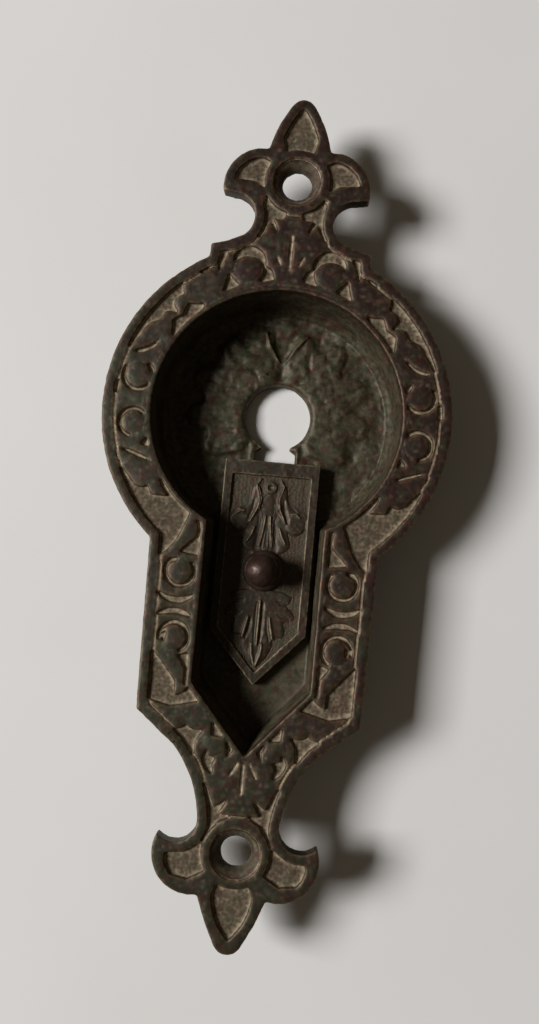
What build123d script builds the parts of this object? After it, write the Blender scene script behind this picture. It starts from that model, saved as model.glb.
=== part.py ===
from build123d import *
import math
import os

# Driving dimensions, in millimetres and degrees.
# The origin is midway between the screws on the flange's back, +Y to the upper tip, +Z out of the face.

# Flange, screws and rims
SCREW_SPACING = 114.3
SCREW_HOLE_D = 5.2
COUNTERSINK_D = 8.8
BOSS_D = 11.4
FLANGE_T = 3.0
RIM_W = 1.7
INNER_RIM_W = 0.8
GROUND_DEPTH = 0.8
RELIEF_DROP = 0.15
BUD_RING_W = 0.55

# Outline: round head, straight flanks and trefoil ends
HEAD_Y = 16.4
HEAD_R = 29.9
SHOULDER_X = 13.9
SHOULDER_STEP = 2.3
FLANK_TOP_W = 38.8
FLANK_END_W = 37.5
FLANK_END_Y = -35.1
TOP_FINIAL_L = 14.75
TOP_TREFOIL_W = 25.3
LOW_FINIAL_L = 16.1
LOW_TREFOIL_W = 26.6

# Cup: round finger recess running into a pointed channel
RECESS_R = 21.5
CHANNEL_W = 20.0
CHANNEL_END_Y = -29.9
CHANNEL_POINT_L = 11.4
RECESS_DEPTH = 9.3
HEAD_SINK = 0.7
FLOOR_T = 2.9
CUP_WALL = 2.2
CUP_BEVEL = 1.5
DRAFT = 5.0

# Keyhole and the leaves round it
KEYHOLE_Y = 17.4
KEYHOLE_D = 11.8
KEYHOLE_THROAT_W = 4.8
KEYHOLE_STEM_W = 7.4
KEYHOLE_FLARE = 0.8
KEYHOLE_WEB = 0.7
LIP_W = 0.8
FLOOR_RELIEF = 0.35

# Sliding cover, its knob and what holds it
KNOB_Y = -10.3
SLIDE_W = 17.0
SLIDE_T = 2.3
SLIDE_HEAD_L = 19.35
SLIDE_SHOULDER_L = 10.9
SLIDE_TIP_L = 20.1
SLIDE_BORDER = 1.6
SLIDE_HEAD_BORDER = 2.6
SLIDE_GROUND_DEPTH = 0.6
SLIDE_RELIEF_DROP = 0.1
SLIDE_GAP = 0.1
COVER_LAP = 0.25
TRAVEL_DOWN = 8.5
KNOB_BALL_D = 5.7
KNOB_COLLAR_D = 7.2
KNOB_COLLAR_T = 0.8
KNOB_COLLAR_BEVEL = 0.3
KNOB_SEAT_D = 8.0
KNOB_NECK_D = 3.4
KNOB_H = 6.8
SHANK_D = 2.6
SHANK_FIT = 0.05
SLOT_CLEARANCE = 0.2
WASHER_D = 5.2
WASHER_T = 0.4
TAIL_D = 4.2
TAIL_T = 0.6
TRACK_CLEARANCE = 0.3
WASHER_GAP = 0.1
TRACK_DEPTH = 1.2

# Places worked out from those
TOP_Y = SCREW_SPACING / 2
LOW_Y = -SCREW_SPACING / 2
HEAD_TOP_Y = HEAD_Y + HEAD_R
POINT_Y = CHANNEL_END_Y - CHANNEL_POINT_L
SLOPE = math.tan(math.radians(DRAFT))
RELIEF_Z = FLANGE_T - RELIEF_DROP
GROUND_Z = FLANGE_T - GROUND_DEPTH
CHANNEL_FLOOR_Z = FLANGE_T - RECESS_DEPTH
HEAD_FLOOR_Z = CHANNEL_FLOOR_Z - HEAD_SINK
BACK_Z = CHANNEL_FLOOR_Z - FLOOR_T
TRACK_Z = BACK_Z + TRACK_DEPTH
SLIDE_Z = CHANNEL_FLOOR_Z + SLIDE_GAP
KNOB_SEAT_Z = SLIDE_Z + SLIDE_T - SLIDE_RELIEF_DROP
WASHER_Z = TRACK_Z - WASHER_GAP - WASHER_T
SLIDE_TOP_Y = KNOB_Y + SLIDE_HEAD_L
TRAVEL_UP = KEYHOLE_Y + KEYHOLE_D / 2 + COVER_LAP - SLIDE_TOP_Y
TRACK_R = WASHER_D / 2 + TRACK_CLEARANCE
KEYHOLE_END_Y = KNOB_Y + TRAVEL_UP + TRACK_R + KEYHOLE_WEB

# Overrun of a cut past a face, root of a relief in its ground, and a shape hung from its top
PAST = 1.0
ROOT = 0.2
HANGING = (Align.CENTER, Align.CENTER, Align.MAX)


# Outlines drawn from corners and bowed sides

def bowed_side(start, end, bow):
    """Side between two corners that bows to the left of its run by a share of its length."""
    a = Vector(*start)
    b = Vector(*end)
    if bow == 0:
        return Edge.make_line(a, b)
    run = b - a
    return Edge.make_three_point_arc(a, (a + b) / 2 + Vector(-run.Y, run.X) * bow, b)


def outline(corners):
    """Face inside a clockwise loop of (x, y, bow), where a bow belongs to the side after its corner."""
    sides = []
    for here, there in zip(corners, corners[1:] + corners[:1]):
        sides.append(bowed_side(here[:2], there[:2], here[2]))
    return -Face(Wire(sides))


def both_sides(right):
    """Loop of a right half, listed from top to bottom, and its mirror image."""
    left = [(-right[0][0], right[0][1], 0)]
    for above, corner in zip(right, right[1:]):
        left.append((-corner[0], corner[1], above[2]))
    if right[0][0] == 0:
        left = left[1:]
    if right[-1][0] == 0:
        right = right[:-1]
    return right + left[::-1]


def raised(corners, y):
    """The same corners, moved up by y."""
    return [(u, v + y, bow) for u, v, bow in corners]


def round_bow(start, end, radius):
    """Bow of the side that follows a circle of this radius."""
    half = math.dist(start, end) / 2
    return (radius - math.sqrt(radius**2 - half**2)) / (2 * half)


def bud_ring(x, y, radius, start, sweep):
    """Loop of the groove round a bud, clockwise from a starting angle and open where its sweep ends."""
    bow = math.tan(math.radians(sweep / 8)) / 2
    stops = [math.radians(start - sweep * share) for share in (0, 0.5, 1)]
    loop = []
    for r, side, turns in ((radius, bow, stops), (radius - BUD_RING_W, -bow, stops[::-1])):
        corners = [(x + r * math.cos(turn), y + r * math.sin(turn)) for turn in turns]
        loop += [(*corners[0], side), (*corners[1], side), (*corners[2], 0)]
    return loop


def on_head(x):
    """How far the head's circle stands above or below its centre at this x."""
    return math.sqrt(HEAD_R**2 - x**2)


def on_band(corners):
    """Corners given as an angle round the head and a share of the way across its band."""
    inner = RECESS_R + INNER_RIM_W
    width = HEAD_R - RIM_W - inner
    placed = []
    for angle, across, bow in corners:
        r = inner + width * across
        turn = math.radians(angle)
        placed.append((r * math.cos(turn), HEAD_Y + r * math.sin(turn), bow))
    return placed


def on_flank(corners):
    """Corners given as a share of the way across the flank's band and a height."""
    inner = CHANNEL_W / 2 + INNER_RIM_W
    width = (FLANK_TOP_W + FLANK_END_W) / 4 - RIM_W - inner
    return [(inner + width * across, y, bow) for across, y, bow in corners]


# Plan of the plate

def plate_plan():
    shoulder = (SHOULDER_X, HEAD_Y + on_head(SHOULDER_X) + SHOULDER_STEP)
    head_top = (SHOULDER_X, HEAD_Y + on_head(SHOULDER_X))
    head_low = (FLANK_TOP_W / 2, HEAD_Y - on_head(FLANK_TOP_W / 2))
    top = raised([
        (0, TOP_FINIAL_L, 0.13),
        (2.2, TOP_FINIAL_L - 1.5, 0.045),
        (5.4, 5.6, 0.25),
        (TOP_TREFOIL_W / 2, -2.5, -0.03),
        (10.9, -2.75, -0.4),
        (8.9, -10.3, -0.03),
    ], TOP_Y)
    middle = [
        (*shoulder, 0),
        (*head_top, round_bow(head_top, head_low, HEAD_R)),
        (*head_low, 0),
        (FLANK_END_W / 2, FLANK_END_Y, 0),
        (FLANK_END_W / 2 - 6.7, FLANK_END_Y - 5.2, -0.08),
    ]
    low = raised([
        (6.8, 5.1, -0.36),
        (LOW_TREFOIL_W / 2, 2.2, 0.31),
        (5.7, -7.1, 0.02),
        (2.3, 1.4 - LOW_FINIAL_L, 0.16),
        (0, -LOW_FINIAL_L, 0),
    ], LOW_Y)
    return outline(both_sides(top + middle + low))


def channel_plan():
    half = CHANNEL_W / 2
    return outline(both_sides([
        (half, HEAD_Y, 0),
        (half, CHANNEL_END_Y, 0),
        (0, POINT_Y, 0),
    ]))


def inside_rims():
    """Field between the outer rim, the rim of the recess and the screw bosses."""
    recess = Pos(0, HEAD_Y) * Circle(RECESS_R + INNER_RIM_W)
    recess += offset(channel_plan(), INNER_RIM_W, kind=Kind.INTERSECTION)
    bosses = [Pos(0, y) * Circle(BOSS_D / 2) for y in (TOP_Y, LOW_Y)]
    return (Sketch() + offset(plate_plan(), -RIM_W)) - recess - bosses


# Sunk ground of the right side, which leaves the foliage standing

def trefoil_ground():
    """Panels in the tip and the side lobe of both ends."""
    top_tip = [(0, TOP_FINIAL_L - 1.7, 0.12), (3.05, 7.6, 0), (2.4, 4.8, 0), (0, 4.8, 0)]
    top_lobe = [
        (4.6, 3.2, 0), (7.6, 4.4, 0.2), (11.2, 1.2, 0), (10.8, -0.1, 0), (7.6, -0.2, 0), (5.2, -1.8, 0),
    ]
    low_tip = [(0, -4.8, 0), (2.6, -4.8, 0), (3.35, -6.8, 0.1), (0, 2.2 - LOW_FINIAL_L, 0)]
    low_lobe = [(5.4, 1.4, 0), (11.7, -0.8, 0.12), (10.4, -4.3, 0), (7.6, -4.7, 0), (4.8, -3.1, 0)]
    top = [raised(top_tip, TOP_Y), raised(top_lobe, TOP_Y)]
    low = [raised(low_tip, LOW_Y), raised(low_lobe, LOW_Y)]
    return top + low


def neck_ground():
    """Ground between the leaves of the upper palmette and round the bud beside it."""
    leaf_gaps = [
        (1.1, -5.35, 0), (5.0, -2.15, 0), (5.6, -5.15, 0), (7.6, -10.25, 0), (6.3, -10.75, 0),
        (5.1, -9.75, 0), (4.1, -7.35, 0), (2.0, -10.25, 0), (3.5, -6.85, 0), (1.7, -6.75, 0),
    ]
    over_bud = [(4.4, -5.0, 0.68), (9.7, -4.4, -0.34)]
    inner_wedge = [(4.5, -4.1, -0.18), (5.6, -7.5, 0), (2.4, -6.6, 0), (3.0, -5.1, 0)]
    outer_wedge = [(10.3, -6.1, 0), (11.1, -9.5, 0), (8.3, -8.1, 0)]
    shoulder_gap = [(10.5, -1.7, 0), (12.3, -2.1, 0), (12.3, -6.9, 0), (11.4, -4.1, 0)]
    beside_bud = [over_bud, inner_wedge, outer_wedge, shoulder_gap]
    return [raised(leaf_gaps, TOP_Y)] + [raised(corners, HEAD_TOP_Y) for corners in beside_bud]


def head_ground():
    """Ground round the two toothed leaves and the two buds of the round band."""
    outside_leaves = [
        (65.0, 0.99, 0), (62.2, 1.17, 0), (45.7, 1.3, 0), (30.6, 1.3, 0), (16.9, 1.2, 0), (18.5, 0.97, 0),
        (27.3, 0.83, -0.15), (34.1, 0.63, 0), (38.2, 0.65, -0.2), (40.6, 0.26, 0), (42.4, 0.64, -0.2),
        (47.5, 0.67, 0), (49.7, 0.93, -0.15), (57.7, 0.91, 0),
    ]
    inside_leaves = [
        (52.4, 0.08, 0), (46.8, 0.38, 0), (42.3, 0.23, 0), (37.7, 0.33, 0), (32.0, 0.02, 0), (40.9, -0.2, 0),
    ]
    under_leaf = [(30.1, 0.25, -0.12), (18.7, 0.98, 0.21)]
    rim_gap = [(8.0, 0.87, 0), (7.1, 1.18, 0), (2.4, 1.14, 0), (3.1, 0.87, 0)]
    wedge = [(-13.3, -0.14, 0), (-17.5, 0.25, 0), (-20.7, -0.12, 0)]
    over_leaf = [(-27.1, -0.02, 0.05), (-16.0, 0.96, 0.03)]
    rings = [bud_ring(24.2, 21.2, 2.8, 35, 265), bud_ring(24.3, 12.95, 2.65, 140, 225)]
    patches = [outside_leaves, inside_leaves, under_leaf, rim_gap, wedge, over_leaf]
    return rings + [on_band(corners) for corners in patches]


def waist_ground():
    """Wide ground below the hanging leaf of the head, round the leaf at the top of the flank."""
    rim_side = on_band([(-18.4, 0.93, 0), (-16.4, 1.2, 0), (-31.8, 1.35, 0), (-45.3, 1.2, 0)])
    flank_leaf = on_flank([
        (1.29, -6.0, 0), (1.29, -9.6, 0), (1.05, -9.4, 0.08), (0.5, -4.4, 0), (0.35, -1.8, -0.2),
        (0.11, -5.6, 0), (0.53, -8.4, 0), (-0.1, -8.9, 0), (-0.1, -2.6, 0),
    ])
    hanging_leaf = on_band([
        (-31.0, -0.26, 0), (-32.6, 0.03, 0), (-37.3, 0.11, 0), (-42.4, 0.14, 0), (-37.8, 0.49, 0),
        (-34.1, 0.46, -0.2), (-30.2, 0.8, 0), (-26.2, 0.86, 0), (-23.1, 0.97, 0),
    ])
    return [rim_side + flank_leaf + hanging_leaf]


def flank_ground():
    """Ground round the two buds of the flank, beside their tie and round the tail."""
    rings = [bud_ring(13.75, -11.6, 2.75, 55, 275), bud_ring(13.75, -22.7, 2.75, 245, 260)]
    upper_tongue = [(14.0, -9.35, 0), (15.2, -9.5, 0), (15.6, -10.3, 0), (14.7, -10.1, 0)]
    lower_tongue = [(14.9, -21.8, 0), (16.1, -22.4, 0), (15.1, -24.2, 0), (15.2, -23.0, 0)]
    tie_top = [(-0.03, -15.0, -0.14), (1.02, -15.0, 0.29)]
    tie_low = [(-0.03, -19.4, 0.22), (1.02, -19.4, -0.08)]
    inside_tail = [(-0.1, -25.0, 0), (0.31, -25.6, 0), (0.09, -27.6, 0), (0.06, -30.6, 0), (-0.1, -30.6, 0)]
    outside_tail = [
        (1.0, -24.7, 0), (1.29, -24.7, 0), (1.29, -33.3, 0), (0.93, -33.3, 0), (0.38, -34.1, 0),
        (-0.31, -33.0, 0), (-0.69, -34.4, 0), (-0.06, -30.6, 0), (0.06, -31.6, 0), (0.28, -32.4, 0),
        (0.3, -30.0, 0), (0.72, -26.7, 0),
    ]
    patches = [tie_top, tie_low, inside_tail, outside_tail]
    return rings + [upper_tongue, lower_tongue] + [on_flank(corners) for corners in patches]


def foot_ground():
    """Ground under the toothed leaf, round the bud by the recess point and between the lower leaves."""
    inside_bud = [
        (5.9, 6.4, 0), (5.8, 3.0, 0), (3.7, 2.9, 0), (2.7, 0.8, 0), (3.5, -1.5, 0), (1.9, 1.1, 0),
        (3.0, 3.3, 0),
    ]
    outside_bud = [
        (6.2, 1.3, 0), (7.0, -0.7, 0.15), (5.0, -3.3, 0), (5.3, -1.7, 0), (4.7, -0.6, 0), (6.0, -0.3, 0),
    ]
    under_leaf = [
        (7.0, 4.2, -0.22), (10.2, 4.4, -0.3), (13.8, 4.9, 0), (16.4, 6.6, 0), (17.0, 4.3, 0), (9.5, -3.2, 0),
        (8.5, -2.1, 0), (8.4, 2.0, 0),
    ]
    leaf_gaps = [
        (6.6, 11.8, 0), (8.0, 11.2, 0), (6.6, 6.0, 0), (7.4, 1.6, 0), (5.0, 1.4, 0), (3.6, 4.8, 0),
        (1.0, 6.2, 0), (3.5, 6.3, 0), (1.9, 9.0, 0), (4.3, 7.4, 0), (5.5, 10.0, 0),
    ]
    beside_point = [raised(corners, POINT_Y) for corners in (inside_bud, outside_bud, under_leaf)]
    return beside_point + [raised(leaf_gaps, LOW_Y)]


def flange_ground():
    """All the sunk ground of the flange."""
    patches = trefoil_ground() + neck_ground() + head_ground()
    patches += waist_ground() + flank_ground() + foot_ground()
    side = Sketch() + [outline(corners) for corners in patches]
    return (side + mirror(side, about=Plane.YZ)) & inside_rims()


# Cup floor

def keyhole_plan():
    throat = KEYHOLE_THROAT_W / 2
    stem = KEYHOLE_STEM_W / 2
    throat_y = KEYHOLE_Y - math.sqrt((KEYHOLE_D / 2)**2 - throat**2)
    stem_face = outline(both_sides([
        (throat, KEYHOLE_Y, 0),
        (throat, throat_y, -0.1),
        (stem, throat_y - KEYHOLE_FLARE, 0),
        (stem, KEYHOLE_END_Y, 0),
    ]))
    return Sketch() + Pos(0, KEYHOLE_Y) * Circle(KEYHOLE_D / 2) + stem_face


def floor_relief():
    """Lobed leaves either side of the keyhole and its raised lip."""
    leaf = outline(raised([
        (0.6, 6.5, 0), (0.5, 10.0, 0), (1.6, 14.2, 0), (3.2, 16.0, 0), (5.0, 15.4, 0), (6.6, 12.2, 0),
        (8.6, 14.2, 0), (11.0, 14.0, 0), (11.8, 12.0, 0), (10.6, 8.6, 0), (14.2, 8.4, 0), (16.0, 7.0, 0),
        (15.9, 4.8, 0), (13.2, 2.2, 0), (15.8, 1.2, 0), (16.8, -0.8, 0), (16.0, -2.6, 0), (12.4, -3.6, 0),
        (13.2, -5.4, 0), (13.1, -7.4, 0), (11.2, -8.0, 0), (5.6, -6.6, 0), (4.6, -3.8, 0),
        (6.2, 0, 0), (4.6, 4.0, 0),
    ], KEYHOLE_Y))
    inside = Pos(0, HEAD_Y) * Circle(RECESS_R - SLOPE * (RECESS_DEPTH + HEAD_SINK) - 2 * ROOT)
    lip = offset(keyhole_plan(), LIP_W, kind=Kind.INTERSECTION)
    leaves = (Sketch() + leaf + mirror(leaf, about=Plane.YZ)) & inside
    return leaves + lip


def well(wall, top, head_floor, channel_floor, bevel):
    """Round well running into the pointed channel, drafted in towards its floor."""
    grow = wall + (top - FLANGE_T) * SLOPE
    drop = top - head_floor
    mouth_r = RECESS_R + grow
    round_part = Cone(mouth_r - drop * SLOPE, mouth_r, drop, align=HANGING)
    if bevel > 0:
        round_part = chamfer(round_part.edges().sort_by(Axis.Z)[:1], bevel)
    pointed = offset(channel_plan(), grow, kind=Kind.INTERSECTION)
    channel = extrude(Pos(0, 0, top) * pointed, top - channel_floor, dir=(0, 0, -1), taper=DRAFT)
    return Pos(0, HEAD_Y, top) * round_part + channel


def run_slot(radius):
    """Slot swept by a round of this radius as the knob travels."""
    length = TRAVEL_UP + TRAVEL_DOWN
    middle = KNOB_Y + (TRAVEL_UP - TRAVEL_DOWN) / 2
    return Pos(0, middle) * Rot(0, 0, 90) * SlotCenterToCenter(length, 2 * radius)


def between(sketch, low, high):
    """Prism of a sketch between two heights."""
    return extrude(Pos(0, 0, low) * sketch, high - low)


def screw_hole():
    drop = (COUNTERSINK_D - SCREW_HOLE_D) / 2
    sink = Cone(SCREW_HOLE_D / 2, COUNTERSINK_D / 2, drop, align=HANGING)
    return Pos(0, 0, FLANGE_T) * sink + Cylinder(SCREW_HOLE_D / 2, 4 * FLANGE_T)


# Pieces

def escutcheon_plate():
    """One casting: relief flange, drafted cup, keyhole and the slot of the knob."""
    band = inside_rims() & Rectangle(2 * HEAD_R, SCREW_SPACING - BOSS_D / 2)
    plate = between(plate_plan(), 0, FLANGE_T)
    plate += well(CUP_WALL, FLANGE_T / 2, BACK_Z, BACK_Z, 0)
    plate -= well(0, FLANGE_T + PAST, HEAD_FLOOR_Z, CHANNEL_FLOOR_Z, CUP_BEVEL)
    plate -= between(band, RELIEF_Z, FLANGE_T + PAST)
    plate -= between(flange_ground(), GROUND_Z, FLANGE_T + PAST)
    plate += between(floor_relief(), HEAD_FLOOR_Z - ROOT, HEAD_FLOOR_Z + FLOOR_RELIEF)
    plate -= between(keyhole_plan(), BACK_Z - PAST, FLANGE_T)
    plate -= between(run_slot(SHANK_D / 2 + SLOT_CLEARANCE), BACK_Z - PAST, CHANNEL_FLOOR_Z + PAST)
    plate -= between(run_slot(TRACK_R), BACK_Z - PAST, TRACK_Z)
    for y in (TOP_Y, LOW_Y):
        plate -= Pos(0, y) * screw_hole()
    return plate


def slide_relief():
    """Bead, split stem and curled leaves above the knob, a lobed leaf below it."""
    stem = both_sides([
        (0, 13.5, 0.2), (1.1, 12.3, 0), (1.3, 10.9, 0), (0.85, 8.6, 0), (1.1, 6.0, 0), (1.5, 3.4, 0),
    ])
    split = both_sides([(0, 8.8, 0), (0.4, 3.3, 0)])
    curl = [
        (1.5, 16.2, 0), (3.0, 15.0, 0), (3.2, 13.2, -0.12), (5.4, 10.5, 0.2), (6.7, 8.9, 0.25),
        (4.7, 6.5, 0), (3.5, 7.4, 0), (4.4, 4.6, 0.12), (2.1, 3.0, 0), (1.6, 6.0, 0), (1.3, 8.6, 0),
        (1.75, 10.9, 0), (1.55, 12.5, 0), (2.3, 14.8, 0),
    ]
    leaf = both_sides([
        (2.2, -3.4, 0.1), (5.6, -4.4, 0), (4.6, -6.1, 0.15), (6.3, -8.0, 0), (4.2, -8.9, 0.15),
        (4.5, -11.5, 0), (2.6, -11.4, 0.12), (2.3, -14.0, 0.1), (0, -17.0, 0),
    ])
    relief = (Sketch() + outline(stem)) - outline(split)
    relief += [outline(curl), mirror(outline(curl), about=Plane.YZ), outline(leaf)]
    relief += [Pos(0, 14.7) * Circle(0.8), RegularPolygon(KNOB_SEAT_D / 2, 8, rotation=180 / 8)]
    return Pos(0, KNOB_Y) * relief


def keyhole_slide():
    """Pointed cover plate with a raised border."""
    plan = outline(both_sides([
        (SLIDE_W / 2, SLIDE_TOP_Y, 0),
        (SLIDE_W / 2, KNOB_Y - SLIDE_SHOULDER_L, 0),
        (0, KNOB_Y - SLIDE_TIP_L, 0),
    ]))
    head_band = Pos(0, SLIDE_TOP_Y) * Rectangle(SLIDE_W, 2 * SLIDE_HEAD_BORDER)
    panel = offset(plan, -SLIDE_BORDER, kind=Kind.INTERSECTION) - head_band
    top = SLIDE_Z + SLIDE_T
    slide = between(plan, SLIDE_Z, top)
    slide -= between(panel, top - SLIDE_RELIEF_DROP, top + PAST)
    slide -= between(panel - slide_relief(), top - SLIDE_GROUND_DEPTH, top + PAST)
    slide -= between(Pos(0, KNOB_Y) * Circle(SHANK_D / 2 + SHANK_FIT), SLIDE_Z - PAST, top + PAST)
    return slide


def slide_knob():
    """Turned knob: ball, flared neck, collar, shank and peened tail in one."""
    ball = KNOB_BALL_D / 2
    neck = KNOB_NECK_D / 2
    collar = KNOB_COLLAR_D / 2
    shank = SHANK_D / 2
    tail = TAIL_D / 2
    ball_z = KNOB_H - ball
    neck_z = ball_z - math.sqrt(ball**2 - neck**2)
    tail_z = WASHER_Z - KNOB_SEAT_Z
    profile = [
        (neck, neck_z),
        (collar - 2 * KNOB_COLLAR_BEVEL, KNOB_COLLAR_T),
        (collar, KNOB_COLLAR_T - KNOB_COLLAR_BEVEL),
        (collar, 0),
        (shank, 0),
        (shank, tail_z),
        (tail, tail_z),
        (tail, tail_z - TAIL_T),
        (0, tail_z - TAIL_T),
        (0, KNOB_H),
    ]
    edges = [Edge.make_three_point_arc(profile[-1], (ball, ball_z), profile[0])]
    for here, there in zip(profile, profile[1:]):
        edges.append(Edge.make_line(here, there))
    section = Plane.XZ * Face(Wire(edges))
    return Pos(0, KNOB_Y, KNOB_SEAT_Z) * revolve(section, Axis.Z)


def friction_washer():
    """Thin washer between the floor's track and the peened tail."""
    ring = Circle(WASHER_D / 2) - Circle(SHANK_D / 2 + SHANK_FIT)
    return Pos(0, KNOB_Y) * between(ring, WASHER_Z, WASHER_Z + WASHER_T)


os.makedirs("parts", exist_ok=True)
export_step(escutcheon_plate(), "parts/escutcheon_plate.step")
export_step(keyhole_slide(), "parts/keyhole_slide.step")
export_step(slide_knob(), "parts/slide_knob.step")
export_step(friction_washer(), "parts/friction_washer.step")
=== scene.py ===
"""Looks of a cast brass keyhole escutcheon with a sliding cover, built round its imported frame.

Lengths on the piece are in millimetres up to the moment a mesh is written. The floor and the light
are in metres. The sizes of the relief stand above the function that uses them.
"""
import math

import bpy
import numpy as np
from mathutils import Matrix, Vector


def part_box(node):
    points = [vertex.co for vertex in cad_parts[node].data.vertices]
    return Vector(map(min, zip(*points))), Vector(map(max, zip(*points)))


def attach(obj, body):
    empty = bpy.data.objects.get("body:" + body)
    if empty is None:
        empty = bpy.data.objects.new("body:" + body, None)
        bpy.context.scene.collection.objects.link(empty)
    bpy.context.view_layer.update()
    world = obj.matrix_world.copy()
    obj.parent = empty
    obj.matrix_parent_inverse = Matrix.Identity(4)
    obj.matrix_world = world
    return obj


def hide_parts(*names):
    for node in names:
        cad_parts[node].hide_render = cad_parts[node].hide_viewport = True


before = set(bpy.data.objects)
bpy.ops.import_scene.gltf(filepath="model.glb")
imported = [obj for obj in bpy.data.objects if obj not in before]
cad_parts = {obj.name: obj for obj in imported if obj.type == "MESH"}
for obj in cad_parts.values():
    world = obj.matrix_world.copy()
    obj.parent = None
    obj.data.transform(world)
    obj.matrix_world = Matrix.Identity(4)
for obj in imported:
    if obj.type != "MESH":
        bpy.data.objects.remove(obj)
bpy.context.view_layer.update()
MM = 0.001

# Levels of the plate, from the top of its rims down
PLATE_LOW, PLATE_HIGH = (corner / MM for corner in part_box("escutcheon_plate"))
RIM_Z = PLATE_HIGH.z
BACK_Z = PLATE_LOW.z
RELIEF_Z = RIM_Z - 0.15
GROUND_Z = RIM_Z - 0.8
CHANNEL_FLOOR_Z = RIM_Z - 9.3
HEAD_FLOOR_Z = CHANNEL_FLOOR_Z - 0.7
FLOOR_LEAF_Z = HEAD_FLOOR_Z + 0.35

# Plan of the cup: its round recess and the right side of its channel
HEAD_Y = 16.4
RECESS_R = 21.5
CHANNEL_SIDE = [(10.0, HEAD_Y), (10.0, -29.9), (0.0, -41.3)]

# Levels of the slide, and ends and place of its knob
SLIDE_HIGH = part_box("keyhole_slide")[1] / MM
SLIDE_RELIEF_Z = SLIDE_HIGH.z - 0.1
SLIDE_GROUND_Z = SLIDE_HIGH.z - 0.6
KNOB_LOW, KNOB_HIGH = (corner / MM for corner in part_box("slide_knob"))
KNOB_Y = (KNOB_LOW.y + KNOB_HIGH.y) / 2

# Fineness of the cast pieces
PLATE_VOXEL = 0.2
SLIDE_VOXEL = 0.11
PLATE_TRIANGLES = 185000
SLIDE_TRIANGLES = 110000


# Meshes as arrays

def applied(piece):
    """The piece with its modifiers made part of its mesh."""
    graph = bpy.context.evaluated_depsgraph_get()
    mesh = bpy.data.meshes.new_from_object(piece.evaluated_get(graph))
    piece.modifiers.clear()
    piece.data = mesh
    return piece


def points_of(mesh):
    flat = np.empty(3 * len(mesh.vertices), np.float32)
    mesh.vertices.foreach_get("co", flat)
    return flat.reshape(-1, 3).astype(float) / MM


def place_points(mesh, points):
    mesh.vertices.foreach_set("co", (points * MM).astype(np.float32).ravel())
    mesh.update()


def normals_of(mesh):
    flat = np.empty(3 * len(mesh.vertices), np.float32)
    mesh.vertex_normals.foreach_get("vector", flat)
    return flat.reshape(-1, 3).astype(float)


def edges_of(mesh):
    flat = np.empty(2 * len(mesh.edges), np.int32)
    mesh.edges.foreach_get("vertices", flat)
    return flat.reshape(-1, 2)


def evenly_meshed(node, name, voxel):
    """New piece with the shape of a CAD node in small even faces, and its edges, points and normals."""
    piece = bpy.data.objects.new(name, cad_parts[node].data.copy())
    bpy.context.scene.collection.objects.link(piece)
    remesh = piece.modifiers.new("even_faces", "REMESH")
    remesh.mode = "VOXEL"
    remesh.voxel_size = voxel * MM
    mesh = applied(piece).data
    return piece, edges_of(mesh), points_of(mesh), normals_of(mesh)


def thinned(piece, triangles):
    """The piece with its flat stretches in fewer faces."""
    piece.data.calc_loop_triangles()
    thin = piece.modifiers.new("fewer_faces", "DECIMATE")
    thin.ratio = min(1, triangles / len(piece.data.loop_triangles))
    return applied(piece)


def keep_values(mesh, name, values):
    """Stores one value a point for the materials to read."""
    layer = mesh.attributes.new(name, "FLOAT", "POINT")
    layer.data.foreach_set("value", values.astype(np.float32))


def evened(values, edges, rounds):
    """Values mixed half and half with the mean of their neighbours, round after round."""
    if values.ndim == 2:
        return np.column_stack([evened(column, edges, rounds) for column in values.T])
    size = len(values)
    here, there = edges.T
    count = np.bincount(here, minlength=size) + np.bincount(there, minlength=size)
    for _ in range(rounds):
        near = np.bincount(here, values[there], size) + np.bincount(there, values[here], size)
        values = 0.5 * values + 0.5 * near / np.maximum(count, 1)
    return values


def soft_mask(chosen, edges, rounds):
    """1 at the chosen points and 0 elsewhere, with an edge that is softer after more rounds."""
    return evened(chosen.astype(float), edges, rounds)


# Patterns

DOT_PLACE = (0.15, 0.85)
DOT_R = 0.5
LINE_END_WIDTH = 0.45


def mottle(points, size, seed):
    """Smooth random values from -1 to 1 that change over about this many millimetres."""
    cells = points / size
    low = np.floor(cells).astype(int)
    part = cells - low
    part = part * part * (3 - 2 * part)
    low -= low.min(0)
    lattice = np.random.default_rng(seed).uniform(-1, 1, low.max(0) + 2)
    total = np.zeros(len(points))
    for corner in np.ndindex(2, 2, 2):
        share = np.where(corner, part, 1 - part).prod(1)
        total += share * lattice[tuple((low + corner).T)]
    return total


def mottles(points, waves):
    """Sum of several mottles, each given by its height, size and seed."""
    return sum(height * mottle(points, size, seed) for height, size, seed in waves)


def punched(points, spacing, seed):
    """Height from 0 to 1 of the small dots that a matting punch leaves standing, this far apart."""
    cells = points[:, :2] / spacing
    home = np.floor(cells).astype(int)
    first = home.min(0) - 1
    place = np.random.default_rng(seed).uniform(*DOT_PLACE, (*(home.max(0) - first + 2), 2))
    nearest = np.full(len(cells), np.inf)
    for step in np.ndindex(3, 3):
        there = home + step - 1
        dot = there + place[tuple((there - first).T)]
        nearest = np.minimum(nearest, np.hypot(*(cells - dot).T))
    return np.clip(1 - (nearest / DOT_R)**2, 0, 1)


def mirrored(points):
    """The points with the left half folded onto the right one."""
    return np.column_stack([abs(points[:, 0]), points[:, 1:]])


def off_point(points, place):
    """Distance in plan from each point to this place."""
    return np.hypot(points[:, 0] - place[0], points[:, 1] - place[1])


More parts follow.
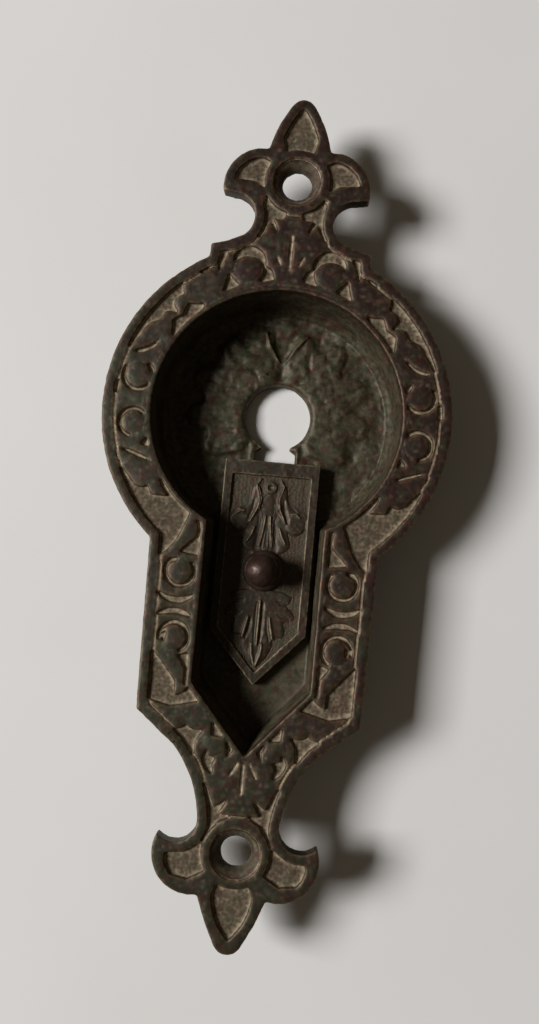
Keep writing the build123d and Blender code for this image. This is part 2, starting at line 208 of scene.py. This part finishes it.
def off_line(points, line):
    """Distance in plan from each point to a line through these corners."""
    nearest = np.full(len(points), np.inf)
    for start, end in zip(np.array(line[:-1], float), np.array(line[1:], float)):
        run = end - start
        along = np.clip((points[:, :2] - start) @ run / (run @ run), 0, 1)
        nearest = np.minimum(nearest, np.hypot(*(points[:, :2] - start - along[:, None] * run).T))
    return nearest


def rise_between(z, low, high):
    """0 at the low level, 1 at the high one."""
    return np.clip((z - low) / (high - low), 0, 1)


def bell(distance, width):
    """1 at no distance, falling to 0 over about this width."""
    return np.exp(-(distance / width)**2)


def dome(points, centre, radius):
    """Height from 0 to 1 of a round dome."""
    return np.sqrt(np.clip(1 - (off_point(points, centre) / radius)**2, 0, 1))


def line_up(points, lines, width):
    """1 along each of these lines, falling to 0 over about this width, which narrows towards the ends."""
    strength = np.zeros(len(points))
    for line in lines:
        start, end = np.array(line[0], float), np.array(line[-1], float)
        run = end - start
        along = np.clip((points[:, :2] - start) @ run / (run @ run), 0, 1)
        taper = width * (LINE_END_WIDTH + (1 - LINE_END_WIDTH) * np.sin(math.pi * along))
        strength = np.maximum(strength, bell(off_line(points, line), taper))
    return strength


# Skin of the cast pieces

# Least upward share of the normal on a level face
LEVEL_FACE = 0.6

# Olive patina: its usual share, its patches, the lengths over which it fades, and more of it in shelter
OLIVE_SHARE = 0.35
OLIVE_PATCHES = [(0.7, 9, 60)]
OLIVE_FADE_X = 45
OLIVE_FADE_Y = 90
OLIVE_IN_SHELTER = 0.5

# How sharp an edge is before it wears, and how much wear the spared places lose
WEAR_FROM = 0.15
WEAR_SPARED = 0.8


def keep_skin(mesh, edges, points, line_height, ground, sheltered, spared):
    """Stores what the material reads: olive patina, ground, hollow lines, worn edges and shelter."""
    faded = points[:, 0] / OLIVE_FADE_X + points[:, 1] / OLIVE_FADE_Y
    olive = OLIVE_SHARE + mottles(points, OLIVE_PATCHES) - faded + OLIVE_IN_SHELTER * sheltered
    sunk = evened(points, edges, rounds=5) - points
    hollow = (sunk * normals_of(mesh)).sum(1) / line_height
    worn = np.clip(-hollow - WEAR_FROM, 0, 1) * (1 - WEAR_SPARED * np.maximum(ground, spared))
    keep_values(mesh, "olive", np.clip(olive, 0, 1))
    keep_values(mesh, "ground", ground)
    keep_values(mesh, "hollow", np.clip(hollow, 0, 1) * (1 - sheltered))
    keep_values(mesh, "worn_edge", worn)
    keep_values(mesh, "sheltered", sheltered)


# Cast plate: carving of the flange, with places on its right half

PLATE_BUDS = [
    ((13.75, -11.6), 2.2),
    ((13.75, -22.7), 2.2),
    ((24.3, 12.95), 2.1),
    ((24.2, 21.2), 2.2),
    ((7.1, 41.0), 2.2),
    ((5.0, -39.6), 1.9),
]
PLATE_BUD_RISE = 0.12
PLATE_VEINS = [
    [(0, 47.4), (0, 41.4)],
    [(2.3, 43.7), (1.6, 42.2)],
    [(0, -41.8), (0, -47.5)],
    [(1.0, -42.4), (2.2, -44.6)],
]
PLATE_VEIN_WIDTH = 0.3
PLATE_VEIN_DEPTH = 0.3

# Pillowed leaves: what lies further inside its outline than this share rises, and the rest sinks
PLATE_PILLOW_RISE = 0.5
PLATE_PILLOW_EDGE = 0.75

# Groove beside the outer rim, placed by shares of the rim's smoothed mask, clear of the cup's rim
RIM_GROOVE_DEPTH = 0.3
RIM_GROOVE_PLACE = 0.22
RIM_GROOVE_WIDTH = 0.1
CUP_RIM_WIDTH = 2

# Matted ground: how far below it the flange still counts, how far above it the ground does
FLANGE_MARGIN = 0.35
GROUND_MARGIN = 0.2
PLATE_MATTING_RISE = 0.06
PLATE_MATTING_SPACING = 0.75
GROUND_WAVES = [(0.05, 1.6, 12)]


def flange_relief(points, edges, facing, from_keyhole):
    """Lift of the flange's carving, and its matted ground and its rims as soft masks."""
    side = mirrored(points)
    z = points[:, 2]
    on_flange = z > GROUND_Z - FLANGE_MARGIN
    height = rise_between(np.where(on_flange, z, RELIEF_Z), GROUND_Z, RELIEF_Z)
    inside = evened(height, edges, rounds=26)
    raised = height * on_flange
    rim = soft_mask(z > (RIM_Z + RELIEF_Z) / 2, edges, rounds=2)
    carved = raised * (1 - rim)
    ground = on_flange & (z < GROUND_Z + GROUND_MARGIN) & (facing > LEVEL_FACE)
    ground = soft_mask(ground, edges, rounds=2)
    off_cup = np.minimum(abs(from_keyhole - RECESS_R), off_line(side, CHANNEL_SIDE))
    by_outer_rim = evened(rim * (off_cup > CUP_RIM_WIDTH), edges, rounds=14)
    matting = PLATE_MATTING_RISE * (punched(points, PLATE_MATTING_SPACING, seed=11) - 0.5)

    lift = carved * PLATE_PILLOW_RISE * (inside - PLATE_PILLOW_EDGE)
    lift -= carved * RIM_GROOVE_DEPTH * bell(by_outer_rim - RIM_GROOVE_PLACE, RIM_GROOVE_WIDTH)
    lift -= carved * PLATE_VEIN_DEPTH * line_up(side, PLATE_VEINS, PLATE_VEIN_WIDTH)
    lift += ground * (matting + mottles(points, GROUND_WAVES))
    for centre, radius in PLATE_BUDS:
        lift += raised * PLATE_BUD_RISE * dome(side, centre, radius)
    return lift, ground, rim


# Cast plate: floor of the round recess, with the places of its veins on the right half

FLOOR_VEINS = [
    [(1.0, 27.0), (3.2, 32.4)],
    [(4.0, 24.6), (10.0, 29.4)],
    [(6.4, 21.0), (14.6, 23.6)],
    [(7.0, 16.6), (15.4, 16.6)],
    [(5.6, 12.6), (12.0, 10.8)],
]
FLOOR_VEIN_WIDTH = 0.7
FLOOR_VEIN_DEPTH = 0.16
FLOOR_VEIN_WAVER = 3
FLOOR_SPRIG = [
    [(-3.4, 33.0), (-2.6, 30.4), (-0.6, 27.6)],
    [(4.2, 32.6), (2.0, 30.0), (0.4, 27.4)],
]
FLOOR_SPRIG_WIDTH = 0.3
FLOOR_SPRIG_RISE = 0.35

# Pillowed leaves of the floor
FLOOR_LEAF_RISE = 0.9
FLOOR_LEAF_EDGE = 0.6
FLOOR_LEAF_MARGIN = 0.1

# What counts as floor: how level it is, how far below the recess floor, how far above the channel's
FLOOR_FACE = 0.3
FLOOR_MARGIN = 0.5
FLOOR_REACH = 1.5
FLOOR_WAVES = [(0.08, 1.0, 13), (0.24, 3.4, 14)]

# Cracks by depth, size and seed, with how much of them is unbroken and how sharply they break
CRACKS = [(0.16, 4.5, 18), (0.08, 2.2, 19)]
CRACK_WIDTH = 0.2
CRACK_UNBROKEN = 0.5
CRACK_BREAKS = 2

# Pits where a mottle of this size passes this height
PIT_DEPTH = 0.5
PIT_SIZE = 1.6
PIT_FROM = 0.4


def floor_relief(points, edges, facing, from_keyhole):
    """Lift of the recess floor's leaves and age, and the floor as a soft mask."""
    z = points[:, 2]
    in_cup = (from_keyhole < RECESS_R) & (z < CHANNEL_FLOOR_Z + FLOOR_REACH)
    on_floor = in_cup & (z > HEAD_FLOOR_Z - FLOOR_MARGIN) & (facing > FLOOR_FACE)
    leaf = rise_between(np.where(on_floor, z, HEAD_FLOOR_Z), HEAD_FLOOR_Z, FLOOR_LEAF_Z)
    leaf *= z < FLOOR_LEAF_Z + FLOOR_LEAF_MARGIN
    floor_skin = soft_mask(on_floor, edges, rounds=4)

    waver = np.column_stack([mottle(points, FLOOR_VEIN_WAVER, seed) for seed in (16, 17)])
    wavering = mirrored(points)[:, :2] + waver
    carving = FLOOR_SPRIG_RISE * line_up(points, FLOOR_SPRIG, FLOOR_SPRIG_WIDTH)
    carving -= FLOOR_VEIN_DEPTH * line_up(wavering, FLOOR_VEINS, FLOOR_VEIN_WIDTH)
    carving += mottles(points, FLOOR_WAVES)
    carving -= PIT_DEPTH * np.clip(mottle(points, PIT_SIZE, seed=15) - PIT_FROM, 0, 1)
    for depth, size, seed in CRACKS:
        crack = np.clip(1 - abs(mottle(points, size, seed)) / CRACK_WIDTH, 0, 1)
        breaks = CRACK_BREAKS * mottle(points, 2 * size, seed + 10)
        carving -= depth * crack * np.clip(CRACK_UNBROKEN + breaks, 0, 1)
    pillow = FLOOR_LEAF_RISE * leaf * (evened(leaf, edges, rounds=40) - FLOOR_LEAF_EDGE)
    return pillow + floor_skin * carving, floor_skin


# Cast plate: the whole piece

WELL_MARGIN = 0.5
PLATE_GRIT = [(0.03, 0.6, 20), (0.045, 1.2, 21), (0.06, 4.5, 22)]

# Height of a line or an edge that shows in full
PLATE_LINE_HEIGHT = 0.05

# Depth below the ground at which shelter is full, and the patchy dust that lies there
SHELTER_DEPTH = 1.5
DUST_SHARE = 0.45
DUST_PATCHES = [(0.8, 2.4, 61), (0.5, 0.9, 62)]
WALL_DUST = 0.8


def cast_plate():
    piece, edges, points, normals = evenly_meshed("escutcheon_plate", "cast_plate", PLATE_VOXEL)
    z = points[:, 2]
    facing = np.clip(normals[:, 2], 0, 1)
    from_keyhole = off_point(points, (0, HEAD_Y))
    flange_lift, ground, rim = flange_relief(points, edges, facing, from_keyhole)
    floor_lift, floor_skin = floor_relief(points, edges, facing, from_keyhole)
    in_well = (from_keyhole < RECESS_R + WELL_MARGIN) & (z > HEAD_FLOOR_Z - FLOOR_MARGIN) & (z < GROUND_Z)
    in_well = soft_mask(in_well, edges, rounds=6)

    points = evened(points, edges, rounds=3)
    rounder = evened(points, edges, rounds=14)
    softness = np.clip(evened(rim, edges, rounds=4) + in_well, 0, 1)
    points += softness[:, None] * (rounder - points)
    points[:, 2] += (flange_lift + floor_lift) * facing
    points += normals * mottles(points, PLATE_GRIT)[:, None]
    points[:, 2] = np.maximum(points[:, 2], BACK_Z)
    place_points(piece.data, points)

    sheltered = np.clip((GROUND_Z - points[:, 2]) / SHELTER_DEPTH, 0, 1)
    on_walls = WALL_DUST * in_well * (facing < LEVEL_FACE)
    patches = np.clip(DUST_SHARE + mottles(points, DUST_PATCHES), 0, 1)
    dust = patches * sheltered * np.where(from_keyhole > RECESS_R, 1, on_walls)
    dusty = np.maximum(ground, dust)
    keep_skin(piece.data, edges, points, PLATE_LINE_HEIGHT, dusty, sheltered, spared=floor_skin)
    return thinned(piece, PLATE_TRIANGLES)


# Cast slide, with places on its right half, from the knob

SLIDE_BUD = (4.9, 8.5)
SLIDE_BUD_R = 1.7
SLIDE_BUD_RISE = 0.2
SLIDE_EYELET = (0.0, 14.7)
EYELET_RING_R = 0.8
EYELET_RING_WIDTH = 0.3
EYELET_HOLE_WIDTH = 0.55
EYELET_RISE = 0.25

# Soft flesh of the stem and out to the buds, with its width, how far it clears the matting, its rise
SLIDE_FLESH = [
    [(0, 15.0), (0, 3.0)],
    [(1.4, 11.6), (3.8, 9.8), (6.8, 9.4)],
]
SLIDE_FLESH_WIDTH = 2.2
SLIDE_FLESH_REACH = 2.6
SLIDE_FLESH_RISE = 0.34

SLIDE_RIDGES = [
    [(1.7, 16.2), (2.4, 15.1), (1.8, 13.7), (1.6, 12.4), (1.9, 11.0), (2.6, 9.7), (3.1, 8.6)],
    [(0.45, 9.6), (0.7, 7.4), (1.2, 4.4)],
    [(2.2, 7.6), (2.7, 6.2), (3.4, 5.0)],
    [(4.2, 10.3), (5.0, 10.4), (5.6, 9.8)],
    [(0, -5.2), (0, -13.0)],
    [(1.9, -8.2), (2.2, -10.0), (2.7, -11.8)],
    [(0.9, -12.8), (0.8, -14.4), (0.1, -16.8)],
]
SLIDE_RIDGE_WIDTH = 0.34
SLIDE_RIDGE_RISE = 0.3
SLIDE_GROOVES = [
    [(2.6, 12.6), (2.8, 10.9), (3.6, 8.6)],
    [(0.55, -5.6), (0.5, -12.4)],
    [(1.4, -8.4), (1.7, -10.4), (2.1, -12.0)],
    [(3.0, -5.2), (5.0, -5.9)],
    [(3.2, -7.4), (5.4, -8.3)],
]
SLIDE_GROOVE_WIDTH = 0.35
SLIDE_GROOVE_DEPTH = 0.2
SLIDE_PILLOW_RISE = 0.3
SLIDE_PILLOW_EDGE = 0.8
SLIDE_MATTING_RISE = 0.1
SLIDE_MATTING_SPACING = 0.6
SLIDE_FACE_MARGIN = 0.25
SLIDE_GROUND_MARGIN = 0.15
SLIDE_BORDER_FROM = 0.3

# Share by which the worn carving has sunk towards its ground
SLIDE_FLATTENING = 0.4
SLIDE_GRIT = [(0.035, 0.5, 40), (0.06, 1.3, 41), (0.06, 4.0, 42)]
SLIDE_LINE_HEIGHT = 0.03
SLIDE_SHELTER = 0.5


def slide_relief(points, from_knob, carved, inside, fleshed, ground):
    """Lift of the slide's fine carving: pillows, matting, grooves, ridges, bud and eyelet."""
    off_eyelet = off_point(from_knob, SLIDE_EYELET)
    eyelet = bell(off_eyelet - EYELET_RING_R, EYELET_RING_WIDTH) - bell(off_eyelet, EYELET_HOLE_WIDTH)
    lift = SLIDE_PILLOW_RISE * carved * (inside - SLIDE_PILLOW_EDGE) * (1 - fleshed)
    lift += SLIDE_MATTING_RISE * ground * punched(points, SLIDE_MATTING_SPACING, seed=31)
    lift -= SLIDE_GROOVE_DEPTH * carved * line_up(from_knob, SLIDE_GROOVES, SLIDE_GROOVE_WIDTH)
    lift += SLIDE_RIDGE_RISE * line_up(from_knob, SLIDE_RIDGES, SLIDE_RIDGE_WIDTH)
    lift += SLIDE_BUD_RISE * dome(from_knob, SLIDE_BUD, SLIDE_BUD_R)
    return lift + EYELET_RISE * eyelet


def cast_slide():
    piece, edges, points, normals = evenly_meshed("keyhole_slide", "cast_slide", SLIDE_VOXEL)
    from_knob = mirrored(points - (0, KNOB_Y, 0))
    z = points[:, 2]
    facing = np.clip(normals[:, 2], 0, 1)
    on_face = z > SLIDE_GROUND_Z - SLIDE_FACE_MARGIN
    height = rise_between(np.where(on_face, z, SLIDE_RELIEF_Z), SLIDE_GROUND_Z, SLIDE_RELIEF_Z)
    inside = evened(height, edges, rounds=40)
    border = soft_mask(z > (SLIDE_HIGH.z + SLIDE_RELIEF_Z) / 2, edges, rounds=2)
    carved = height * on_face * (1 - border)
    fleshed = line_up(from_knob, SLIDE_FLESH, SLIDE_FLESH_REACH)
    ground = on_face & (z < SLIDE_GROUND_Z + SLIDE_GROUND_MARGIN) & (facing > LEVEL_FACE)
    ground = soft_mask(ground, edges, rounds=3) * (1 - fleshed)
    lift = slide_relief(points, from_knob, carved, inside, fleshed, ground)

    points = evened(points, edges, rounds=5)
    modelled = evened(points, edges, rounds=50)
    modelled[:, 2] += SLIDE_FLATTENING * (SLIDE_GROUND_Z - modelled[:, 2])
    swelling = SLIDE_GROUND_Z + SLIDE_FLESH_RISE * line_up(from_knob, SLIDE_FLESH, SLIDE_FLESH_WIDTH)
    modelled[:, 2] = np.maximum(modelled[:, 2], swelling) + lift
    softness = soft_mask(on_face & (border < SLIDE_BORDER_FROM), edges, rounds=3)
    points += softness[:, None] * (modelled - points)
    points += normals * mottles(points, SLIDE_GRIT)[:, None]
    place_points(piece.data, points)

    sheltered = np.full(len(points), SLIDE_SHELTER)
    keep_skin(piece.data, edges, points, SLIDE_LINE_HEIGHT, ground, sheltered, spared=0)
    return thinned(piece, SLIDE_TRIANGLES)


# Turned knob, with its collar's edge as steps inward and upward from the collar's foot

KNOB_TURNS = 96
KNOB_HEIGHT = 6.8
KNOB_TIP_R = 0.02
BALL_R = 2.85
BALL_STEPS = 26
BALL_TIP_ANGLE = 0.01
NECK_R = 1.7
NECK_STEPS = 9
NECK_SWEEP_IN = 0.55
NECK_SWEEP_UP = 1.8
SHANK_R = 1.3
TAIL_R = 2.1
TAIL_HEIGHT = 0.6
TAIL_CHAMFER = (0.3, 0.25)
COLLAR_EDGE = [(0, 0), (0, 0.2), (0.2, 0.45), (0.5, 0.68), (0.75, 0.84)]
KNOB_DENTS = [(0.05, 0.7, 50), (0.07, 1.6, 51)]
DENTS_FROM = 0.8


def lathe(name, profile):
    """New piece turned about the knob's axis from a list of (radius, height)."""
    turn = np.arange(KNOB_TURNS) * 2 * math.pi / KNOB_TURNS
    points = []
    for radius, height in profile:
        ring = [radius * np.cos(turn), KNOB_Y + radius * np.sin(turn), np.full(KNOB_TURNS, height)]
        points.append(np.column_stack(ring))
    faces = []
    for row in range(len(profile) - 1):
        for step in range(KNOB_TURNS):
            after = (step + 1) % KNOB_TURNS
            corners = (step, after, after + KNOB_TURNS, step + KNOB_TURNS)
            faces.append([row * KNOB_TURNS + corner for corner in corners])
    last = (len(profile) - 1) * KNOB_TURNS
    faces.append(list(range(KNOB_TURNS))[::-1])
    faces.append(list(range(last, last + KNOB_TURNS)))
    mesh = bpy.data.meshes.new(name)
    mesh.from_pydata(np.concatenate(points) * MM, [], faces)
    mesh.validate()
    piece = bpy.data.objects.new(name, mesh)
    bpy.context.scene.collection.objects.link(piece)
    return piece


def knob_profile(seat):
    """Outline of the knob from its peened tail up to its ball, as (radius, height)."""
    collar_r = (KNOB_HIGH.x - KNOB_LOW.x) / 2
    tail_top = KNOB_LOW.z + TAIL_HEIGHT
    ball_z = KNOB_HIGH.z - BALL_R
    neck_angle = math.pi - math.asin(NECK_R / BALL_R)
    neck_z = ball_z + BALL_R * math.cos(neck_angle)
    inward, upward = TAIL_CHAMFER
    profile = [(KNOB_TIP_R, KNOB_LOW.z), (TAIL_R - inward, KNOB_LOW.z), (TAIL_R, KNOB_LOW.z + upward)]
    profile += [(TAIL_R, tail_top), (SHANK_R, tail_top), (SHANK_R, seat)]
    profile += [(collar_r - inward, seat + upward) for inward, upward in COLLAR_EDGE]
    shoulder_r, shoulder_z = profile[-1]
    for share in np.linspace(0, 1, NECK_STEPS)[1:-1]:
        radius = shoulder_r + (NECK_R - shoulder_r) * share**NECK_SWEEP_IN
        profile.append((radius, shoulder_z + (neck_z - shoulder_z) * share**NECK_SWEEP_UP))
    for angle in np.linspace(neck_angle, BALL_TIP_ANGLE, BALL_STEPS):
        profile.append((BALL_R * math.sin(angle), ball_z + BALL_R * math.cos(angle)))
    return profile


def turned_knob():
    seat = KNOB_HIGH.z - KNOB_HEIGHT
    piece = lathe("turned_knob", knob_profile(seat))
    points = points_of(piece.data)
    handled = np.clip((points[:, 2] - seat) / DENTS_FROM, 0, 1)
    dents = handled * mottles(points, KNOB_DENTS)
    place_points(piece.data, points + normals_of(piece.data) * dents[:, None])
    return piece


# Materials

def linear(hex_colour):
    """Linear colour of an sRGB hex value."""
    parts = [int(hex_colour[i:i + 2], 16) / 255 for i in (1, 3, 5)]
    return [c / 12.92 if c <= 0.04045 else ((c + 0.055) / 1.055)**2.4 for c in parts] + [1]


def add(tree, kind, settings=None, inputs=None):
    """Adds a node, sets its settings, and sets or links its inputs."""
    node = tree.nodes.new(kind)
    for name, value in (settings or {}).items():
        setattr(node, name, value)
    for name, value in (inputs or {}).items():
        if isinstance(value, bpy.types.NodeSocket):
            tree.links.new(value, node.inputs[name])
        else:
            node.inputs[name].default_value = value
    return node


def new_material(name):
    material = bpy.data.materials.new(name)
    material.use_nodes = True
    material.node_tree.nodes.clear()
    return material, material.node_tree


def per_mm(size):
    """Texture scale, per metre, whose pattern is about this many millimetres across."""
    return 1 / (size * MM)


# Least share of each stored layer that lasts where the grain is thinnest
LASTING = {"olive": 0.5, "ground": 0.7, "hollow": 0.3, "worn_edge": 0.3, "sheltered": 0.2}


def cast_brass(name, brown, layers):
    """Sand-cast brass under an old patina: dark mottled relief, dusty ground, pale lines, rubbed edges."""
    material, tree = new_material(name)
    place = add(tree, "ShaderNodeTexCoord").outputs["Object"]
    fleck = add(tree, "ShaderNodeTexNoise", {}, {"Vector": place, "Scale": per_mm(1.6), "Detail": 5.0})
    grain = add(tree, "ShaderNodeTexNoise", {}, {"Vector": place, "Scale": per_mm(0.9), "Detail": 4.0})
    flecks = add(tree, "ShaderNodeSeparateColor", {}, {"Color": fleck.outputs["Color"]})
    spots = (
        ("red", flecks.outputs["Red"], 0.5, 0.66, 0.65),
        ("green", flecks.outputs["Green"], 0.52, 0.68, 0.6),
    )
    shares = {}
    for what, pattern, low, high, most in spots:
        spread = add(tree, "ShaderNodeMapRange", {}, {
            "Value": pattern, "From Min": low, "From Max": high, "To Max": most})
        shares[what] = spread.outputs["Result"]
    for what, least in LASTING.items():
        reach = add(tree, "ShaderNodeAttribute", {"attribute_name": what})
        lay = add(tree, "ShaderNodeMapRange", {}, {
            "Value": grain.outputs["Fac"], "From Min": 0.35, "From Max": 0.65, "To Min": least})
        held = add(tree, "ShaderNodeMath", {"operation": "MULTIPLY"}, {
            0: reach.outputs["Fac"], 1: lay.outputs["Result"]})
        shares[what] = held.outputs["Value"]
    colour = linear(brown)
    for what, tint in layers.items():
        coat = add(tree, "ShaderNodeMix", {"data_type": "RGBA"}, {
            "Factor": shares[what], "A": colour, "B": linear(tint)})
        colour = coat.outputs["Result"]
    bare = add(tree, "ShaderNodeMapRange", {}, {"Value": shares["ground"], "To Min": 0.4, "To Max": 0.05})
    rough = add(tree, "ShaderNodeMapRange", {}, {"Value": shares["ground"], "To Min": 0.55, "To Max": 0.9})
    bump = add(tree, "ShaderNodeBump", {}, {
        "Strength": 0.7, "Distance": 0.09 * MM, "Height": grain.outputs["Fac"]})
    surface = add(tree, "ShaderNodeBsdfPrincipled", {}, {
        "Base Color": colour, "Metallic": bare.outputs["Result"],
        "Roughness": rough.outputs["Result"], "Normal": bump.outputs["Normal"]})
    add(tree, "ShaderNodeOutputMaterial", {}, {"Surface": surface.outputs["BSDF"]})
    return material


def turned_brass(name, patina, rubbed):
    """Turned or stamped brass, browned and rubbed by fingers: finely pitted, with a broken shine."""
    material, tree = new_material(name)
    place = add(tree, "ShaderNodeTexCoord").outputs["Object"]
    blotch = add(tree, "ShaderNodeTexNoise", {}, {"Vector": place, "Scale": per_mm(2.5), "Detail": 4.0})
    colour = add(tree, "ShaderNodeMix", {"data_type": "RGBA"}, {
        "Factor": blotch.outputs["Fac"], "A": linear(patina), "B": linear(rubbed)})
    rough = add(tree, "ShaderNodeMapRange", {}, {
        "Value": blotch.outputs["Fac"], "From Min": 0.3, "From Max": 0.7, "To Min": 0.3, "To Max": 0.55})
    pits = add(tree, "ShaderNodeTexNoise", {}, {"Vector": place, "Scale": per_mm(0.5), "Detail": 2.0})
    bump = add(tree, "ShaderNodeBump", {}, {
        "Strength": 0.7, "Distance": 0.06 * MM, "Height": pits.outputs["Fac"]})
    surface = add(tree, "ShaderNodeBsdfPrincipled", {}, {
        "Base Color": colour.outputs["Result"], "Metallic": 0.5,
        "Roughness": rough.outputs["Result"], "Normal": bump.outputs["Normal"]})
    add(tree, "ShaderNodeOutputMaterial", {}, {"Surface": surface.outputs["BSDF"]})
    return material


def pale_board(name):
    """Matt pale board that the plate lies on: even, with a faint cloudiness."""
    material, tree = new_material(name)
    place = add(tree, "ShaderNodeTexCoord").outputs["Object"]
    cloud = add(tree, "ShaderNodeTexNoise", {}, {"Vector": place, "Scale": per_mm(40), "Detail": 2.0})
    colour = add(tree, "ShaderNodeMix", {"data_type": "RGBA"}, {
        "Factor": cloud.outputs["Fac"], "A": linear("#E3E1DE"), "B": linear("#EAE8E6")})
    surface = add(tree, "ShaderNodeBsdfPrincipled", {}, {
        "Base Color": colour.outputs["Result"], "Roughness": 0.8})
    add(tree, "ShaderNodeOutputMaterial", {}, {"Surface": surface.outputs["BSDF"]})
    return material


# Floor, light and camera

def floor():
    half = 1.5
    mesh = bpy.data.meshes.new("floor")
    corners = [(-half, -half), (half, -half), (half, half), (-half, half)]
    mesh.from_pydata([(x, y, BACK_Z * MM) for x, y in corners], [], [(0, 1, 2, 3)])
    board = bpy.data.objects.new("floor", mesh)
    board.data.materials.append(pale_board("matt_pale_board"))
    bpy.context.scene.collection.objects.link(board)


def area_light(name, azimuth, elevation, distance, size, power):
    """Square light aimed at the plate's middle; azimuth runs from +X towards +Y."""
    turn, rise = math.radians(azimuth), math.radians(elevation)
    away = Vector((math.cos(turn) * math.cos(rise), math.sin(turn) * math.cos(rise), math.sin(rise)))
    data = bpy.data.lights.new(name, "AREA")
    data.size = size
    data.energy = power
    lamp = bpy.data.objects.new(name, data)
    lamp.location = away * distance
    lamp.rotation_euler = away.to_track_quat("Z", "Y").to_euler()
    bpy.context.scene.collection.objects.link(lamp)


def lights():
    """One soft window to the left, and a dim warm room round it."""
    area_light("window_light", azimuth=178, elevation=41.5, distance=1.8, size=0.6, power=36.5)
    world = bpy.data.worlds.new("dim_room")
    world.use_nodes = True
    backdrop = world.node_tree.nodes["Background"]
    backdrop.inputs["Color"].default_value = linear("#D2C2A8")
    backdrop.inputs["Strength"].default_value = 0.085
    bpy.context.scene.world = world


def photo_camera():
    """Camera close above the plate, where the photograph was taken from."""
    eye = Vector((6.5, -10.53, 154.3)) * MM
    ahead = Vector((-0.0398, 0.067, -0.997)).normalized()
    up = Vector((-0.0896, 0.9935, 0.0704))
    across = ahead.cross(up).normalized()
    up = across.cross(ahead)
    data = bpy.data.cameras.new("camera")
    data.sensor_fit = "VERTICAL"
    data.sensor_height = 36
    data.lens = 31.64
    data.clip_start = 0.005
    camera = bpy.data.objects.new("camera", data)
    turn = Matrix((across, up, -ahead)).transposed()
    camera.matrix_world = Matrix.Translation(eye) @ turn.to_4x4()
    bpy.context.scene.collection.objects.link(camera)
    bpy.context.scene.camera = camera


# Assembly

def dress(piece, body, node, material):
    """Puts a finished piece in the place of its CAD node."""
    piece.data.materials.clear()
    piece.data.materials.append(material)
    piece.data.shade_smooth()
    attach(piece, body)
    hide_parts(node)


plate_brass = cast_brass("sand_cast_brass_plate", "#27160F", {
    "olive": "#2D2E1D", "sheltered": "#504B36", "ground": "#544734", "red": "#441D13",
    "green": "#2F3A22", "hollow": "#A09078", "worn_edge": "#7A6246"})
slide_brass = cast_brass("sand_cast_brass_slide", "#34251A", {
    "olive": "#2B2A1C", "sheltered": "#3A3226", "ground": "#473B2B", "red": "#452619",
    "green": "#343A28", "hollow": "#57503D", "worn_edge": "#8A785C"})
knob_brass = turned_brass("turned_brass_knob", "#2E201A", "#503C32")
dress(cast_plate(), "plate", "escutcheon_plate", plate_brass)
dress(cast_slide(), "slide", "keyhole_slide", slide_brass)
dress(turned_knob(), "slide", "slide_knob", knob_brass)
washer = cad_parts["friction_washer"]
washer.data.materials.clear()
washer.data.materials.append(turned_brass("stamped_brass_washer", "#5A4A2C", "#7A6640"))

floor()
lights()
photo_camera()
bpy.context.scene.view_settings.view_transform = "Standard"
